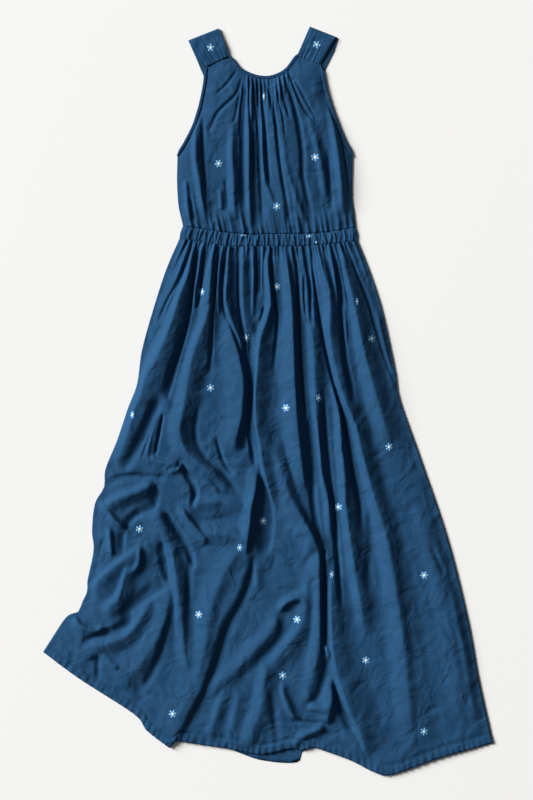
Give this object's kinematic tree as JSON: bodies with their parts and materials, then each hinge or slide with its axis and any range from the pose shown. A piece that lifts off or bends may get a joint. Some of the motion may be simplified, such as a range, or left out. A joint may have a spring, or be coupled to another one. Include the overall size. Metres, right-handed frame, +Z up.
{
  "type": "halter dress",
  "caption": "Sleeveless halter dress laid flat, with a gathered neck, wide straps, an elastic waistband and a long full gathered skirt.",
  "frame": {"origin": "on the surface that the dress lies on, at the middle of its length and width", "axes": "+X to the right of the laid-out dress as seen from above, +Y from hem to straps, +Z up from the surface"},
  "size_m": [0.9, 1.499, 0.0301],
  "materials": {
    "cotton": "plain-woven navy blue cotton with a matte crumpled surface",
    "binding": "the same cotton cut on the bias, folded and stitched",
    "thread": "pale blue and cream embroidery thread",
    "stitching": "navy sewing thread"
  },
  "bodies": {
    "root": {"skirt_front": "cotton", "skirt_back": "cotton", "waistband_front": "cotton", "waistband_back": "cotton", "bodice_front": "cotton", "bodice_back": "cotton", "neck_binding": "binding", "armhole_binding_left": "binding", "armhole_binding_right": "binding", "strap_left": "cotton", "strap_right": "cotton"}
  },
  "joints": []
}
